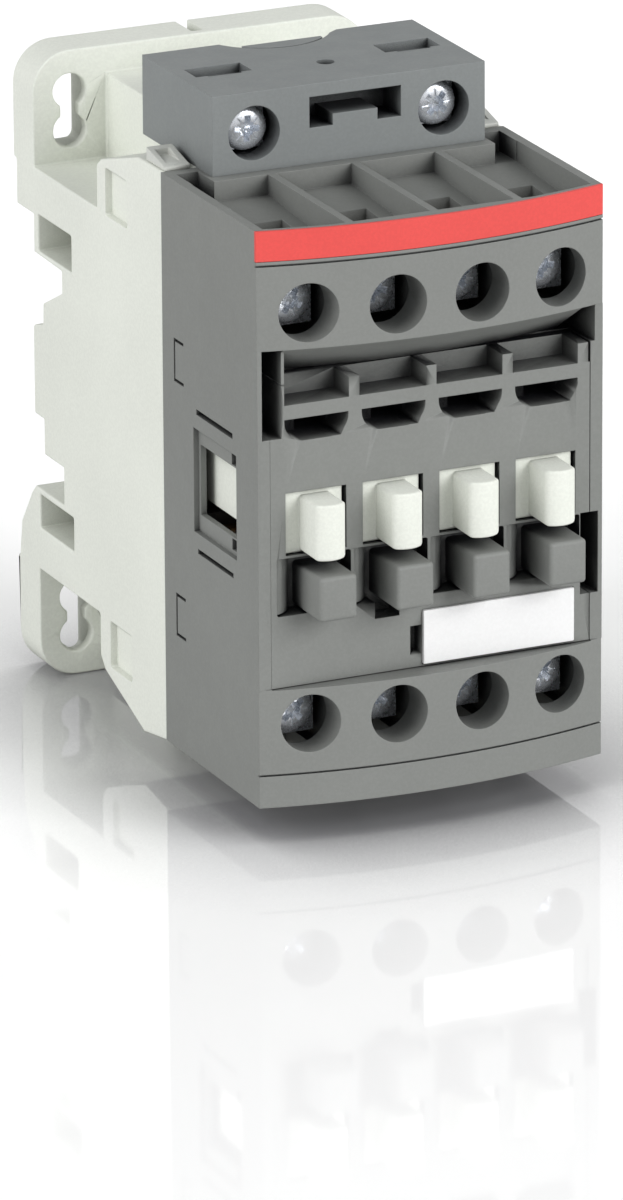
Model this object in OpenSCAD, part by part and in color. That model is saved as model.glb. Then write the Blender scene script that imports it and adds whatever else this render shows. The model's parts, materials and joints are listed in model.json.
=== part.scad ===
// DIN rail contactor with three power poles and one auxiliary pole.
// X runs across the poles, the front faces -Y and Z is up. Millimetres.
// The origin is the centre of the panel hole pattern, on the back plane.

/* [Housings] */
// Width across the housings
body_w = 45; // [44.8:0.1:45.4]
// Height of the grey front housing
front_h = 71.3; // [71:0.1:71.6]
// Height over the mounting ears
ear_h = 80.4; // [80:0.1:81]
// Depth from the back plane to the joint between the housings
joint_d = 44.9; // [44.8:0.1:45]
// Depth from the back plane to the flat front cover
cover_d = 72.1; // [72:0.1:72.2]
// Depth from the back plane to the indicator noses
nose_d = 77; // [76.5:0.1:77.5]
// Plan radius of the bulged terminal faces
bulge_r = 86; // [84:1:90]

/* [Poles] */
// Spacing of the terminals and contact bridges
pole_pitch = 10.9; // [10.8:0.05:10.95]
// Spacing of the indicator windows
window_pitch = 10; // [9.9:0.05:10.1]
// Height of the terminal screws above and below the middle
terminal_z = 25.4; // [25.2:0.1:25.6]
// Radius of the terminal screw holes
hole_r = 3.6; // [3.4:0.1:3.8]
// Travel of the contact carrier
travel = 4; // [3.6:0.1:4]
// Gap between open contacts, less than the travel
contact_gap = 2.8; // [2.6:0.1:3]

/* [Mounting] */
// Spacing of the ear holes across
ear_pitch = 35; // [34.8:0.1:35.2]
// Height of the inner hole pattern
ear_inner = 60; // [59.8:0.1:60.2]
// Height of the outer hole pattern
ear_outer = 70; // [69.8:0.1:70.2]
// Radius of the ear holes
ear_r = 2.15; // [2.05:0.05:2.2]
// Height of the rail's centre line above the hole pattern's centre
rail_z = 2.4; // [2.3:0.1:2.5]
// Width of the rail
rail_w = 35; // [34.8:0.1:35]

/* [Coil block] */
// Width of the coil terminal block
coil_w = 35.7; // [35:0.1:36.2]
// Depth from the back plane to the coil block's front
coil_d = 49.5; // [49.2:0.1:49.6]
// Top of the coil block
coil_top = 45.5; // [45:0.1:46]
// Distance of the coil screws from the middle
coil_screw_x = 12.4; // [12.2:0.1:12.6]

/* [Hidden] */
$fn = 64;

half_w = body_w / 2;
half_h = front_h / 2;
ear_z = ear_h / 2;
gap = 0.1;
eps = 0.05;
// cuts run past every front face to here, and past the side faces by this much
far_front = -80;
past = 1;
joint_y = -joint_d;
cover_y = -cover_d;
nose_y = -nose_d;
bulge_sagitta = 3;
smooth = 256;
bulge_y = bulge_r - cover_d - bulge_sagitta + 0.1;

// heights on the front
slope_top = 21;
cover_top = 16.5;
cover_bottom = -20.9;
recess_y = cover_y + 4.3;
cover_back = -66.3;
thin_back = -69.9;
recess_left = -19.02;
left_slot_x = [-21.9, -19.4];
left_slot_z = [10, slope_top];
right_slot_x = [19.6, 21.95];
right_slot_z = [-15, -4.8];
crease_z = 31.4;
window_w = 7.87;
window_z = [-4.6, 3.16];
hook_z = [-11.8, -6.3];
cover_x = 20.9;
hook_pocket_d = 3;

// wire pockets along the top and the bottom
pocket_w = 9.9;
pocket_wall = 1;
pocket_floor = [[-51.2, 40], [-51.2, 33.1], [-73, 31.8], [-73, 40]];
way_y = [-66.6, -59.6];

// rooms inside the housings
room_x = 20.9;
room_z = 24.2;
board_room_z = 30.8;
room_front = -46;

// terminals, from front to back
chamber_front = -69.8;
head_y = -68.1;
head_t = 2;
clamp_t = 1.2;
pad_y = -61.5;
strip_t = 1.5;
leg_y = -53.1;
tip_z = 9;
tip_t = 0.8;
bridge_y = leg_y - tip_t - contact_gap;
cross_y = [-69.7, -66.7];
pole_z = 16;
chamber_half = 4.2;
chamber_z = 5;
chamber_back = -51.4;

// noses of the carrier, and its arms on each side of a bridge
nose_half = 2;
nose_z = [-4.3, 2.6];
nose_bow = 2.6;
arm_x = 3.05;
arm_t = 1;
beam_y = [-50, -47.5];

// magnet
core_x = 6.5;
limb_tip = -34.1;
armature_front = -47.3;
coil_z = 40.4;
coil_back = -37.4;
pin_y = -45.3;
rail_top = rail_z + rail_w / 2;
rail_bottom = rail_z - rail_w / 2;
lip_y = -5.9;

function pole_x(i) = (i - 1.5) * pole_pitch;
function window_x(i) = (i - 1.5) * window_pitch;

// a block between two corners
module block(x, y, z) {
    translate([x[0], y[0], z[0]]) cube([x[1] - x[0], y[1] - y[0], z[1] - z[0]]);
}

// a (y, z) outline stretched across x
module along_x(x) {
    translate([x[0], 0, 0]) rotate([90, 0, 90]) linear_extrude(x[1] - x[0]) children();
}

// an (x, z) outline stretched along y
module along_y(y) {
    translate([0, y[1], 0]) rotate([90, 0, 0]) linear_extrude(y[1] - y[0]) children();
}

// an (x, y) outline stretched up z
module along_z(z) {
    translate([0, 0, z[0]]) linear_extrude(z[1] - z[0]) children();
}

module rod_y(x, z, y, r) {
    along_y(y) translate([x, z]) circle(r);
}

module both_sides() {
    children();
    mirror([1, 0, 0]) children();
}

module top_and_bottom() {
    children();
    mirror([0, 0, 1]) children();
}

// a rectangle with rounded corners
module soft_rect(x, z, r) {
    translate([x[0] + r, z[0]]) square([x[1] - x[0] - 2 * r, z[1] - z[0]]);
    translate([x[0], z[0] + r]) square([x[1] - x[0], z[1] - z[0] - 2 * r]);
    for (cx = [x[0] + r, x[1] - r], cz = [z[0] + r, z[1] - r]) translate([cx, cz]) circle(r);
}

// a coil spring along z: closed polyhedron swept along a helix
module helix(r, length, turns, wire_r) {
    sides = 6;
    steps = 10 * turns;
    rings = [for (i = [0:steps]) let (a = 360 * i / 10, z = length * i / steps)
        for (j = [0:sides - 1]) let (b = 360 * j / sides, q = r + wire_r * cos(b))
            [q * cos(a), q * sin(a), z + wire_r * sin(b)]];
    walls = [for (i = [0:steps - 1], j = [0:sides - 1]) let (k = (j + 1) % sides)
        each [[i * sides + j, (i + 1) * sides + j, i * sides + k],
            [i * sides + k, (i + 1) * sides + j, (i + 1) * sides + k]]];
    ends = [[for (j = [0:sides - 1]) j], [for (j = [sides - 1:-1:0]) steps * sides + j]];
    polyhedron(rings, concat(walls, ends));
}

// ---------------------------------------------------------------- rear housing
// outline of the back, which holds the rail, from top to bottom
back_outline = [[-0.8, 26], [-0.8, rail_top], [lip_y, rail_top], [lip_y, 15.1], [-14.35, 14.9],
    [-14.35, 12.1], [-8.5, 9.2], [-8.4, 6.4], [-5.6, 5.7], [-5.6, -5.75], [-8.3, -5.75],
    [-8.3, -10.3], [-14.2, -10.3], [-14.2, rail_bottom], [-5.5, rail_bottom], [-4.3, -16.2],
    [-0.9, -21], [0, -26.6]];
side_outline = concat(back_outline, [[0, -27.2], [-5, -27.2], [-5, -25.7], [-24.9, -25.7],
    [-24.9, -31.1], [-26.2, -32.6], [-38, -36.9], [joint_y, -35.8], [joint_y, half_h],
    [-38, half_h], [-26.6, 32.4], [-25.4, 31.4], [-25.4, 26]]);
middle_outline = concat(back_outline, [[0, -36.7], [-26.2, -36.7], [joint_y, -35.8],
    [joint_y, half_h - 0.15], [-29, half_h - 0.15], [-29, 36.7], [-0.8, 36.7]]);
ear_y = -6.3;
ear_web = 1.6;
middle_x = 12.6;

module figure_eight(x) {
    for (z = [ear_inner, ear_outer] / 2) translate([x, z]) circle(ear_r);
    translate([x - 1.2, ear_inner / 2]) square([2.4, (ear_outer - ear_inner) / 2]);
}

module ear_plates() {
    top_and_bottom() difference() {
        along_y([ear_y, 0]) difference() {
            soft_rect([-half_w + gap, half_w - gap], [10, ear_z], 5);
            square([body_w + 2, 51.4], center = true);
        }
        both_sides() {
            // hollow back, on the inner side of the holes only
            along_y([ear_y + ear_web, 1]) soft_rect([14.7, ear_pitch / 2 + 0.5], [27.3, ear_z - 1.4], 1);
            along_y([ear_y - 1, 1]) figure_eight(ear_pitch / 2);
        }
    }
}

// slide way of the latch
module latch_way() {
    block([-8.2, 8.2], [-4.8, -3], [-45, -15]);
    block([-6.7, 6.7], [-3.01, 1], [-45, -12]);
}

module rear_housing() {
    color([0.89, 0.9, 0.87]) {
        difference() {
            union() {
                ear_plates();
                along_x([-half_w + gap, half_w - gap]) polygon(side_outline);
                along_x([-middle_x, middle_x]) polygon(middle_outline);
                // fixed hook behind the rail's upper lip
                block([-10, 10], [-4.7, -0.8], [rail_top - 1.7, rail_top + 2]);
            }
            // room for the magnet and coil
            block([-12, 12], [room_front, -16], [-room_z, room_z]);
            block([-room_x, room_x], [room_front, -18.4], [-room_z, room_z]);
            block([-room_x, room_x], [room_front, -26.9], [-board_room_z, board_room_z]);
            // hollow lower middle and upper middle
            top_and_bottom() block([-11, 11], [-27, -8], [26, 35.2]);
            both_sides() {
                // windows in the side walls
                block([15.5, half_w + past], [-17.4, -7.3], [15.6, 20.2]);
                block([15.5, half_w + past], [-17.1, -6.8], [-20.2, -15.9]);
                top_and_bottom() block([half_w - 1, half_w + past], [-34.5, -28.1], [25.8, 31.7]);
                // slot for the coil terminal's leg
                block([coil_screw_x - 1.7, coil_screw_x + 1.7], [-39.1, -37.5], [30, 40]);
            }
            // notch in the top edge of the back plate
            block([-0.6, 0.9], [-5, 1], [38.8, ear_z + 1]);
            latch_way();
        }
        // post that the latch spring pushes against
        block([-1.9, 1.9], [-4.85, -1.6], [-31, -29.8]);
    }
}

// ---------------------------------------------------------------- pole housing
module bulged(z, r = bulge_r) {
    intersection() {
        translate([0, bulge_y, z[0]]) cylinder(h = z[1] - z[0], r = r, $fn = smooth);
        block([-half_w, half_w], [far_front, joint_y], z);
    }
}

// the face above the cover, which falls back to the recess
module upper_slope() {
    intersection() {
        translate([0, bulge_y, cover_top]) cylinder(h = slope_top - cover_top,
            r1 = bulge_r - (cover_d + bulge_sagitta + recess_y) + 0.3, r2 = bulge_r, $fn = smooth);
        block([-half_w, half_w], [far_front, joint_y], [cover_top, slope_top]);
    }
}

module wire_way(i) {
    x = pole_x(i);
    // open pocket with a sloping floor
    intersection() {
        along_x([x - pocket_w / 2, x + pocket_w / 2]) polygon(pocket_floor);
        bulged([20, 45], bulge_r - pocket_wall);
    }
    // way down to the clamp
    block([x - 2.9, x + 2.9], way_y, [29, 34]);
}

module terminal_room(i) {
    x = pole_x(i);
    block([x - chamber_half, x + chamber_half], [chamber_front, chamber_back],
        [terminal_z - chamber_z, terminal_z + chamber_z]);
    rod_y(x, terminal_z, [far_front, chamber_front + 1], hole_r);
    // slot that the contact strip passes through
    block([x - 3, x + 3], [leg_y - 0.2, chamber_back], [pole_z - 1, terminal_z - chamber_z + gap]);
}

// a box cut into a side face, to a depth
module side_cut(depth, y, z) {
    block([half_w - depth, half_w + past], y, z);
}

// two c shaped catch marks and two slots beside the interlock opening
module side_marks() {
    mark_z = 5.4;
    line_t = 0.4;
    for (z = [10.7, -21.3]) {
        side_cut(0.5, [-48.6, -48.2], [z, z + mark_z]);
        side_cut(0.5, [-51, -48.2], [z, z + line_t]);
        side_cut(0.5, [-51, -48.2], [z + mark_z - line_t, z + mark_z]);
    }
    side_cut(0.9, [-65, -54.6], [8.3, 9]);
    side_cut(0.9, [-65, -54.8], [-9, -8.4]);
}

// opening for a mechanical interlock on each side
module interlock_window() {
    deep = 3;
    side_cut(0.7, [-66, -53.7], [-6.5, 6.5]);
    side_cut(deep, [-64.6, -54.2], [-4.4, 4.4]);
    side_cut(deep, [-66, -63.2], [4.6, 6]);
    side_cut(deep, [-66, -63.2], [-6, -4.6]);
}

module pole_housing() {
    color([0.55, 0.56, 0.54]) difference() {
        union() {
            bulged([slope_top, half_h]);
            upper_slope();
            block([-half_w, half_w], [cover_y, joint_y], [cover_bottom, cover_top]);
            block([-half_w, recess_left], [cover_y, joint_y], [cover_top - 1, slope_top]);
            block([21.46, half_w], [cover_y, joint_y], [cover_top - 1, slope_top]);
            bulged([-half_h, cover_bottom]);
        }
        // seat of the colour band
        intersection() {
            block([-half_w - past, half_w + past], [far_front, -66], [crease_z + 0.5, half_h + past]);
            difference() {
                translate([0, bulge_y, 0]) cylinder(h = 60, r = bulge_r + 2, $fn = smooth);
                translate([0, bulge_y, -1]) cylinder(h = 62, r = bulge_r - 0.4, $fn = smooth);
            }
        }
        // crease lines above and below
        for (z = [crease_z, -crease_z - 0.2]) intersection() {
            block([-half_w - past, half_w + past], [far_front, -66], [z - 0.12, z + 0.12]);
            difference() {
                translate([0, bulge_y, z - 1]) cylinder(h = 2, r = bulge_r + 2, $fn = smooth);
                translate([0, bulge_y, z - 2]) cylinder(h = 4, r = bulge_r - 0.35, $fn = smooth);
            }
        }
        // room for the cups behind the front cover
        block([-18, 20], [-67, cup_floor + 1], [8.4, 13]);
        // seat of the front cover
        block([-cover_x, cover_x], [far_front, cover_back + eps], [cover_bottom - gap, cover_top]);
        block([-cover_x + 0.5, cover_x - 0.5], [far_front, -66.2], [cover_top - 0.2, cover_top + gap]);
        // recess corner at the upper right, slots at the left and the right
        block([19.4, 21.46], [far_front, -64], [cover_top, terminal_z - chamber_z - 0.2]);
        block([19.4, 21.46], [far_front, chamber_front - 0.3], [cover_top, slope_top]);
        block(left_slot_x, [far_front, -66], left_slot_z);
        block(right_slot_x, [far_front, -66], right_slot_z);
        for (i = [0:3]) {
            x = pole_x(i);
            block([x - 4.7, x + 4.7], [cover_back - past, chamber_back], [-pole_z, pole_z]);
            top_and_bottom() {
                wire_way(i);
                terminal_room(i);
            }
        }
        // room beside the coil block, behind the outer wire pockets
        both_sides() top_and_bottom() block([18.4, 21.2], [-51.5, -46.5], [33.1, 45]);
        // way of the carrier and room for the armature
        block([-room_x, room_x], [-71, -44], [-5.4, 5]);
        block([-room_x, room_x], [-49.6, -44], [-room_z, room_z]);
        both_sides() {
            side_marks();
            interlock_window();
        }
    }
}

module colour_band() {
    color([0.9, 0.24, 0.22]) intersection() {
        block([-half_w, half_w], [far_front, -66], [crease_z + 0.55, half_h]);
        difference() {
            translate([0, bulge_y, 0]) cylinder(h = 60, r = bulge_r, $fn = smooth);
            translate([0, bulge_y, -1]) cylinder(h = 62, r = bulge_r - 0.38, $fn = smooth);
        }
    }
}

// ----------------------------------------------------------------- front cover
bar_z = [12.2, 13.95];
cup_floor = -64;
post_shift = 0.12;
pocket_z = [-12.05, -4.9];
pocket_roll = 3.4;
pocket_slot = 0.3;
hook_left = -1.75;
hook_right = 3.1;
plate_x = [-1.2, 18.66];
plate_z = [-20.6, -13.9];

// u shaped pocket under the coupling bar, with a small hole for a hook
module coupling_pocket(i) {
    x = window_x(i) + post_shift;
    along_y([far_front, recess_y]) soft_rect([x - 4.14, x + 4.14], [9.4, 19], 2.5);
    block([x - 0.95, x + 3.15], [far_front, cup_floor], [9.45, 11.9]);
}

// closed cup behind the small hole
module coupling_cup(i) {
    x = window_x(i) + post_shift;
    block([x - 1.75, x + 3.95], [cover_back - 0.2, cup_floor + 0.8], [8.65, 12.7]);
}

// pocket around a hook: its left edge rolls down towards the hook, above a thin slot
module hook_pocket(i) {
    x = window_x(i);
    difference() {
        along_y([far_front, cover_y + hook_pocket_d]) soft_rect([x - 5.1, x + 4.5], pocket_z, 0.3);
        along_z([pocket_z[0] + pocket_slot, pocket_z[1] + 1]) translate([x - 5.9, cover_y + pocket_roll])
            circle(r = pocket_roll);
    }
}

module hook(i) {
    x = window_x(i);
    chamfer = 0.6;
    along_x([x + hook_left, x + hook_right]) polygon([[nose_y + chamfer, hook_z[0]],
        [nose_y, hook_z[0] + chamfer], [nose_y, hook_z[1] - chamfer], [nose_y + chamfer, hook_z[1]],
        [-67, hook_z[1]], [-67, hook_z[0]]]);
}

module front_cover() {
    post_half = 0.68;
    color([0.55, 0.56, 0.54]) difference() {
        union() {
            difference() {
                union() {
                    block([eps / 2 - cover_x, cover_x - gap], [cover_y, cover_back],
                        [cover_bottom, cover_top - gap]);
                    for (i = [0:3]) coupling_cup(i);
                }
                // recess with the bar and the posts left standing
                block([recess_left, cover_x + past], [far_front, recess_y], [bar_z[1], 30]);
                for (i = [0:3]) coupling_pocket(i);
                for (i = [0:3]) hook_pocket(i);
                // thin middle where the carrier comes forward
                block([-20, 20], [thin_back, -60], [-5.3, 8.2]);
            }
            block([recess_left - 0.2, 19.3], [cover_y, recess_y + 1], bar_z);
            for (x = [-9.98, 0.02, 10, 19.9])
                block([x - post_half, x + post_half], [cover_y, recess_y + 1],
                    [bar_z[0] - 2.6, cover_top - gap]);
            for (i = [0:3]) hook(i);
        }
        for (i = [0:3]) block([window_x(i) - window_w / 2, window_x(i) + window_w / 2],
            [far_front, -60], window_z);
        block(left_slot_x, [far_front, -66.8], left_slot_z);
        block(right_slot_x, [far_front, -66.8], right_slot_z);
        // seat of the marker plate, with its release slot
        block([plate_x[0] - eps, plate_x[1] + eps], [far_front, cover_y + 1],
            [plate_z[0] - eps, plate_z[1] + eps]);
        block([-2.8, -1.3], [far_front, cover_y + 2], [-19.3, -15.7]);
        block([-7.4, -4.2], [far_front, cover_y + 3], [-14.1, -12]);
    }
}

module marker_plate() {
    color([0.97, 0.97, 0.97])
        block(plate_x, [cover_y - 0.35, cover_y + 0.95], plate_z);
}

// ------------------------------------------------------------------ coil block
module coil_pocket(x) {
    // wire entry with a step
    block([x - 3.65, x + 3.65], [-41, -37.3], [coil_top - 1.2, coil_top + past]);
    block([x - 2.2, x + 2.2], [-41.4, -39], [41, coil_top + past]);
    // room for the clamp
    block([x - 3.4, x + 3.4], [-46.4, coil_back], [coil_z - 3.3, coil_z + 3.3]);
    rod_y(x, coil_z, [-60, -46], 3.35);
    block([x - 1.7, x + 1.7], [-39.1, coil_back], [30, 38]);
    // room for the screw's end behind the pad
    rod_y(x, coil_z, [-38, -34], 1.75);
}

module coil_block() {
    half = coil_w / 2;
    tab_x = -0.4;
    tab_y = -25.4;
    tab_r = 8.05;
    color([0.58, 0.59, 0.59]) {
        difference() {
            block([-half, half], [-coil_d, -29.2], [half_h, coil_top]);
            both_sides() coil_pocket(coil_screw_x);
            // latch slot in the front, round the tongue
            block([-5.2, 6.8], [-60, -44.5], [40.1, 43.9]);
            // wide notch in the back edge
            along_z([30, 60]) polygon([[-7.6, -29], [-5.4, -31.3], [4.8, -31.3], [8, -29]]);
            translate([0.6, -41.5, 42]) cylinder(h = 10, r = 1.1);
            // gap round the release tab
            translate([tab_x, tab_y, 43]) cylinder(h = 10, r = tab_r + 0.25);
        }
        block([-2.15, 3.7], [-coil_d, -44], [40, 41.5]);
        // release tab
        intersection() {
            translate([tab_x, tab_y, 42]) cylinder(h = coil_top - 42, r = tab_r);
            block([-5.6, 4.8], [-40, -31], [42, coil_top]);
        }
    }
}

module housing_clips() {
    color([0.8, 0.81, 0.78]) both_sides() difference() {
        along_x([18.6, 22]) polygon([[-39.5, half_h], [-39.5, 37.3], [-44.8, 36.1],
            [-44.8, half_h]]);
        along_x([19.4, 21.2]) polygon([[-40.3, 36.3], [-40.3, 38], [-44, 38], [-44, 36.3]]);
    }
}

// ------------------------------------------------------------------- terminals
// stamped strip from the clamp pad to the contact leg
module contact_strip(i) {
    x = pole_x(i);
    low = terminal_z - 4.8;
    difference() {
        block([x - 3.5, x + 3.5], [pad_y, pad_y + strip_t], [low, terminal_z + 4.2]);
        rod_y(x, terminal_z, [-70, -50], 1.85);
    }
    block([x - 2.8, x + 2.8], [pad_y + 1, leg_y + strip_t], [low, low + 1.2]);
    block([x - 2.8, x + 2.8], [leg_y, leg_y + strip_t], [tip_z - 2, low + 1.2]);
}

module line_contact(i) {
    color([0.8, 0.6, 0.42]) contact_strip(i);
}

module load_contact(i) {
    color([0.8, 0.6, 0.42]) mirror([0, 0, 1]) contact_strip(i);
}

module fixed_tips() {
    color([0.85, 0.86, 0.88]) for (i = [0:3]) top_and_bottom()
        rod_y(pole_x(i), tip_z, [leg_y - tip_t, leg_y], 1.7);
}

// saddle that presses the wire on the pad
module clamp_plate(x, z, y, w, r) {
    difference() {
        union() {
            block([x - w / 2, x + w / 2], [y, y + clamp_t], [z - w / 2, z + w / 2]);
            for (s = [-1, 1]) block([x + s * (w / 2 - 0.4) - 0.4, x + s * (w / 2 - 0.4) + 0.4],
                [y, y + clamp_t + 0.9], [z - w / 2, z + w / 2]);
        }
        rod_y(x, z, [y - 1, y + 5], r);
    }
}

module line_clamp(i) {
    color([0.78, 0.79, 0.8]) clamp_plate(pole_x(i), terminal_z, head_y + head_t + eps, 7.2, 1.8);
}

module load_clamp(i) {
    color([0.78, 0.79, 0.8]) clamp_plate(pole_x(i), -terminal_z, head_y + head_t + eps, 7.2, 1.8);
}

module coil_clamp(x) {
    color([0.78, 0.79, 0.8]) clamp_plate(x, coil_z, -45.5 + eps, 6, 1.6);
}

// pan head screw along y with a cross recess
module screw(x, z, y, head_r, head_len, shank_r, length) {
    recess = head_r * 0.62;
    arm = 0.45;
    deep = 1.3;
    difference() {
        union() {
            translate([x, y, z]) rotate([-90, 0, 0])
                cylinder(h = 0.5, r1 = head_r - 0.5, r2 = head_r);
            rod_y(x, z, [y + 0.5, y + head_len], head_r);
            rod_y(x, z, [y + head_len - 0.2, y + length], shank_r);
        }
        block([x - recess, x + recess], [y - 1, y + deep], [z - arm, z + arm]);
        block([x - arm, x + arm], [y - 1, y + deep], [z - recess, z + recess]);
    }
}

module line_screw(i) {
    color([0.86, 0.87, 0.88]) screw(pole_x(i), terminal_z, head_y, 3, head_t, 1.72, 10);
}

module load_screw(i) {
    color([0.86, 0.87, 0.88]) screw(pole_x(i), -terminal_z, head_y, 3, head_t, 1.72, 10);
}

module coil_screw(x) {
    color([0.86, 0.87, 0.88]) screw(x, coil_z, -47.5, 2.85, 2, 1.5, 9);
}

module coil_terminal(x) {
    color([0.8, 0.6, 0.42]) difference() {
        union() {
            block([x - 3.2, x + 3.2], [-38.8, -37.6], [coil_z - 3, coil_z + 3]);
            block([x - 1.5, x + 1.5], [-38.8, -37.6], [28.2, coil_z - 2]);
        }
        rod_y(x, coil_z, [-45, -30], 1.6);
    }
}

// ---------------------------------------------------------------- magnet, coil
// E shaped core: yoke between two depths, limbs to a third
module e_core(yoke, limb, half_z) {
    block([-core_x + 0.2, core_x - 0.2], yoke, [-half_z, half_z]);
    for (z = [[-half_z, -half_z + 4.5], [-4, 4], [half_z - 4.5, half_z]])
        block([-core_x + 0.2, core_x - 0.2], limb, z);
}

module fixed_core() {
    color([0.5, 0.5, 0.52]) e_core([-21.5, -17], [limb_tip, -21], 22);
}

module core_pad() {
    color([0.2, 0.2, 0.2]) block([-6, 6], [-17, -16], [-21, 21]);
}

module coil_bobbin() {
    color([0.93, 0.92, 0.86]) difference() {
        union() {
            block([-7.8, 7.8], [-33.6, -22], [-5.4, 5.4]);
            along_y([-33.6, -32.5]) soft_rect([-17, 17], [-16.8, 16.8], 2);
            along_y([-23.1, -22]) soft_rect([-17, 17], [-16.8, 16.8], 2);
        }
        block([-6.8, 6.8], [-40, -20], [-4.4, 4.4]);
    }
}

module coil_winding() {
    color([0.72, 0.4, 0.2]) difference() {
        along_y([-32.4, -23.2]) soft_rect([-15.6, 15.6], [-15, 15], 4);
        block([-7.9, 7.9], [-40, -20], [-5.5, 5.5]);
    }
}

module coil_board() {
    color([0.2, 0.45, 0.3]) {
        block([-16, 16], [-43, -29], [26.6, 28.2]);
        block([-8, -2], [-41, -36], [28.1, 30.3]);
        block([0, 7], [-42, -38], [28.1, 29.8]);
        translate([3, -33, 28.1]) cylinder(h = 2.3, r = 2.4);
        block([-14.5, -10], [-35, -31], [28.1, 29.6]);
    }
}

// ------------------------------------------------------------- moving assembly
module nose(i) {
    x = window_x(i);
    intersection() {
        along_y([nose_y, cross_y[0] + 1]) soft_rect([x - nose_half, x + nose_half], nose_z, 0.5);
        union() {
            translate([x, nose_y + nose_bow, -10]) cylinder(h = 20, r = nose_bow);
            block([x - nose_half, x + nose_half], [nose_y + nose_bow - 0.4, -60], [-10, 10]);
        }
    }
}

module contact_carrier() {
    color([0.91, 0.92, 0.89]) difference() {
        union() {
            for (i = [0:3]) {
                nose(i);
                block([window_x(i) - 3.75, window_x(i) + 3.6], [cover_y + 0.55, cross_y[0] + 1],
                    [window_z[0] + 0.12, window_z[1] - 0.12]);
            }
            block([-19.8, 19.8], cross_y, [-4.7, 4.5]);
            for (i = [0:3], s = [-1, 1]) {
                x = pole_x(i) + s * arm_x;
                block([x - arm_t / 2, x + arm_t / 2], [cross_y[1] - gap, beam_y[1]], [-3.5, 3.5]);
            }
            for (i = [0:3]) block([pole_x(i) - 3.3, pole_x(i) + 3.3],
                [bridge_y - 0.6, bridge_y + 1.4], [-1.5, 1.5]);
            block([-20.2, 20.2], beam_y, [-3.5, 3.5]);
            both_sides() block([6.8, 9.2], [beam_y[1] - gap, -42.5], [-3.2, 3.2]);
        }
        // eye for the armature pin
        along_x([-12, 12]) translate([pin_y, 0]) circle(1.25);
    }
}

module armature() {
    color([0.52, 0.52, 0.54]) difference() {
        e_core([armature_front, -43.8], [-44, limb_tip - travel - gap], 22);
        along_x([-12, 12]) translate([pin_y, 0]) circle(1.25);
    }
}

module armature_pin() {
    color([0.8, 0.8, 0.82]) along_x([-9.2, 9.2]) translate([pin_y, 0]) circle(1.2);
}

module bridge(i) {
    x = pole_x(i);
    bar = bridge_y - 0.7;
    color([0.82, 0.63, 0.42]) {
        block([x - 2.2, x + 2.2], [bar - 1.1, bar], [-11, 11]);
        for (z = [-tip_z, tip_z]) rod_y(x, z, [bar - 0.1, bridge_y], 1.6);
    }
}

module contact_spring(i) {
    length = bridge_y - 1.8 - cross_y[1] - 0.8;
    color([0.75, 0.76, 0.78]) translate([pole_x(i), cross_y[1] + 0.4, 0]) rotate([-90, 0, 0])
        helix(1.6, length, 5, 0.25);
}

module return_spring(x) {
    color([0.75, 0.76, 0.78]) translate([x, -47, 0]) rotate([-90, 0, 0])
        helix(2.2, 13, 6, 0.3);
}

// ----------------------------------------------------------------------- latch
module din_latch() {
    color([0.86, 0.87, 0.84]) difference() {
        union() {
            block([-8, 8], [-4.6, -3.2], [-36, -18]);
            block([-6.5, 6.5], [-3.3, -0.8], [-39.6, -17]);
            block([-6.5, 6.5], [-4.6, -3], [-39.6, -36.5]);
            along_x([-6.5, 6.5]) polygon([[-4.6, -18], [-4.6, -13.4], [-3.6, -13.4], [-0.8, -17.2],
                [-0.8, -18]]);
        }
        block([-2.3, 2.3], [-10, 1], [-31.2, -22.2]);
        block([-2.6, 2.6], [-2, 1], [-38.6, -36.8]);
    }
}

module din_latch_spring() {
    color([0.75, 0.76, 0.78]) translate([0, -2.9, -29.4]) helix(1.3, 6.8, 5, 0.2);
}

rear_housing();
pole_housing();
front_cover();
colour_band();
marker_plate();
coil_block();
housing_clips();
fixed_core();
core_pad();
coil_bobbin();
coil_winding();
coil_board();
coil_terminal(-coil_screw_x);  // coil_terminal_left
coil_terminal(coil_screw_x);  // coil_terminal_right
fixed_tips();
coil_clamp(-coil_screw_x);  // coil_clamp_left
coil_clamp(coil_screw_x);  // coil_clamp_right
coil_screw(-coil_screw_x);  // coil_screw_left
coil_screw(coil_screw_x);  // coil_screw_right
contact_carrier();
armature();
armature_pin();
return_spring(-13.5);  // return_spring_left
return_spring(13.5);  // return_spring_right
din_latch();
din_latch_spring();
for (i = [0:3]) {
    line_contact(i);
    load_contact(i);
    line_clamp(i);
    load_clamp(i);
    line_screw(i);
    load_screw(i);
    bridge(i);
    contact_spring(i);
}
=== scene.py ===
"""Looks of a DIN rail contactor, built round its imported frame. Metres, front faces -Y, Z is up."""

import json
import math
import random

import bmesh
import bpy
from mathutils import Matrix, Vector


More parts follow.
